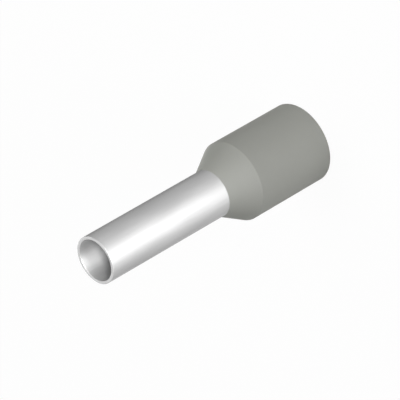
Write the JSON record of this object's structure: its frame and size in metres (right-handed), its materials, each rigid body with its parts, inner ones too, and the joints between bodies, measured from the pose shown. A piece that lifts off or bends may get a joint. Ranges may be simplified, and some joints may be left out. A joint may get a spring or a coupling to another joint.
{
  "type": "wire ferrule",
  "caption": "Insulated wire-end sleeve: a thin bright metal crimp tube, flared inside a tapered grey plastic collar that guides and covers the wire.",
  "frame": {"origin": "centre of the collar's wire-entry end face, on the axis; the ferrule stands on that face", "axes": "+Z along the axis, from the wire-entry end to the sleeve's tip; X and Y are any two across it, because every section is round"},
  "size_m": [0.0054, 0.0054, 0.018],
  "materials": {
    "tinned_copper": "bright satin tin plating on drawn copper tube",
    "grey_plastic": "moulded polypropylene, even satin, warm grey"
  },
  "bodies": {
    "root": {"crimp_sleeve": "tinned_copper", "insulating_collar": "grey_plastic"}
  },
  "joints": []
}
